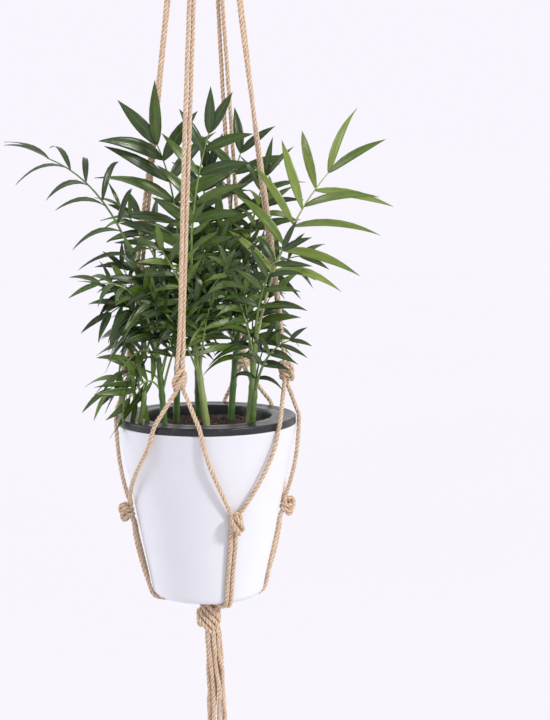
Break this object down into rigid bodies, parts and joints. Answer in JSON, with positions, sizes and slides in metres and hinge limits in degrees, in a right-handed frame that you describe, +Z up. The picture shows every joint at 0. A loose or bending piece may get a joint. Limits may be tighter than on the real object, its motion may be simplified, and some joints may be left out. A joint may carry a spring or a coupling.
{
  "type": "hanging planter",
  "caption": "Knotted rope hanger on a steel ring that carries a tapered pot with a flanged liner, soil and a leafy palm, and ends in a tassel below the pot.",
  "frame": {"origin": "top of the ring's eye, where a hook bears", "axes": "+Z up, -Y towards the front, +X to the right seen from the front"},
  "size_m": [0.3298, 0.167, 1.0317],
  "materials": {
    "ring_steel": "satin steel wire",
    "jute_cord": "natural jute, three-ply twisted cord with fine loose fibres",
    "jute_knot": "natural jute cord pulled tight into a knot",
    "white_pot": "smooth satin white plastic",
    "grey_liner": "dark grey plastic with a soft sheen",
    "potting_soil": "crumbly dark potting soil with bits of bark",
    "palm_leaf": "glossy green palm leaflets on green canes"
  },
  "bodies": {
    "ring": {"hanging_ring": "ring_steel"},
    "neck": {"ring_loop_1": "jute_cord", "ring_loop_2": "jute_cord", "ring_loop_3": "jute_cord", "ring_loop_4": "jute_cord", "gathering_wrap": "jute_knot"},
    "hanger": {"arm_cord_1": "jute_cord", "arm_cord_2": "jute_cord", "arm_cord_3": "jute_cord", "arm_cord_4": "jute_cord", "arm_cord_5": "jute_cord", "arm_cord_6": "jute_cord", "arm_cord_7": "jute_cord", "arm_cord_8": "jute_cord", "upper_knot_1": "jute_knot", "upper_knot_2": "jute_knot", "upper_knot_3": "jute_knot", "upper_knot_4": "jute_knot", "net_cord_1": "jute_cord", "net_cord_2": "jute_cord", "net_cord_3": "jute_cord", "net_cord_4": "jute_cord", "net_cord_5": "jute_cord", "net_cord_6": "jute_cord", "net_cord_7": "jute_cord", "net_cord_8": "jute_cord", "lower_knot_1": "jute_knot", "lower_knot_2": "jute_knot", "lower_knot_3": "jute_knot", "lower_knot_4": "jute_knot", "under_cord_1": "jute_cord", "under_cord_2": "jute_cord", "under_cord_3": "jute_cord", "under_cord_4": "jute_cord", "under_cord_5": "jute_cord", "under_cord_6": "jute_cord", "under_cord_7": "jute_cord", "under_cord_8": "jute_cord", "base_knot": "jute_knot", "outer_pot": "white_pot", "liner_pot": "grey_liner", "soil": "potting_soil", "palm_seedling_1": "palm_leaf", "palm_seedling_2": "palm_leaf", "palm_seedling_3": "palm_leaf", "palm_seedling_4": "palm_leaf", "palm_seedling_5": "palm_leaf", "palm_seedling_6": "palm_leaf", "palm_seedling_7": "palm_leaf"},
    "tassel": {"tassel_strand_1": "jute_cord", "tassel_strand_2": "jute_cord", "tassel_strand_3": "jute_cord", "tassel_strand_4": "jute_cord", "tassel_strand_5": "jute_cord", "tassel_strand_6": "jute_cord", "tassel_strand_7": "jute_cord", "tassel_strand_8": "jute_cord"}
  },
  "joints": [
    {"name": "swing_side", "type": "hinge", "parent": "ring", "child": "neck", "pos_m": [0, 0, -0.02], "axis": [0, 1, 0], "range_deg": [-25, 25]},
    {"name": "swing_front", "type": "hinge", "parent": "neck", "child": "hanger", "pos_m": [0, 0, -0.09067], "axis": [1, 0, 0], "range_deg": [-20, 20]},
    {"name": "tassel_swing", "type": "hinge", "parent": "hanger", "child": "tassel", "pos_m": [0, 0, -0.8635], "axis": [0, 1, 0], "range_deg": [-25, 25]}
  ]
}
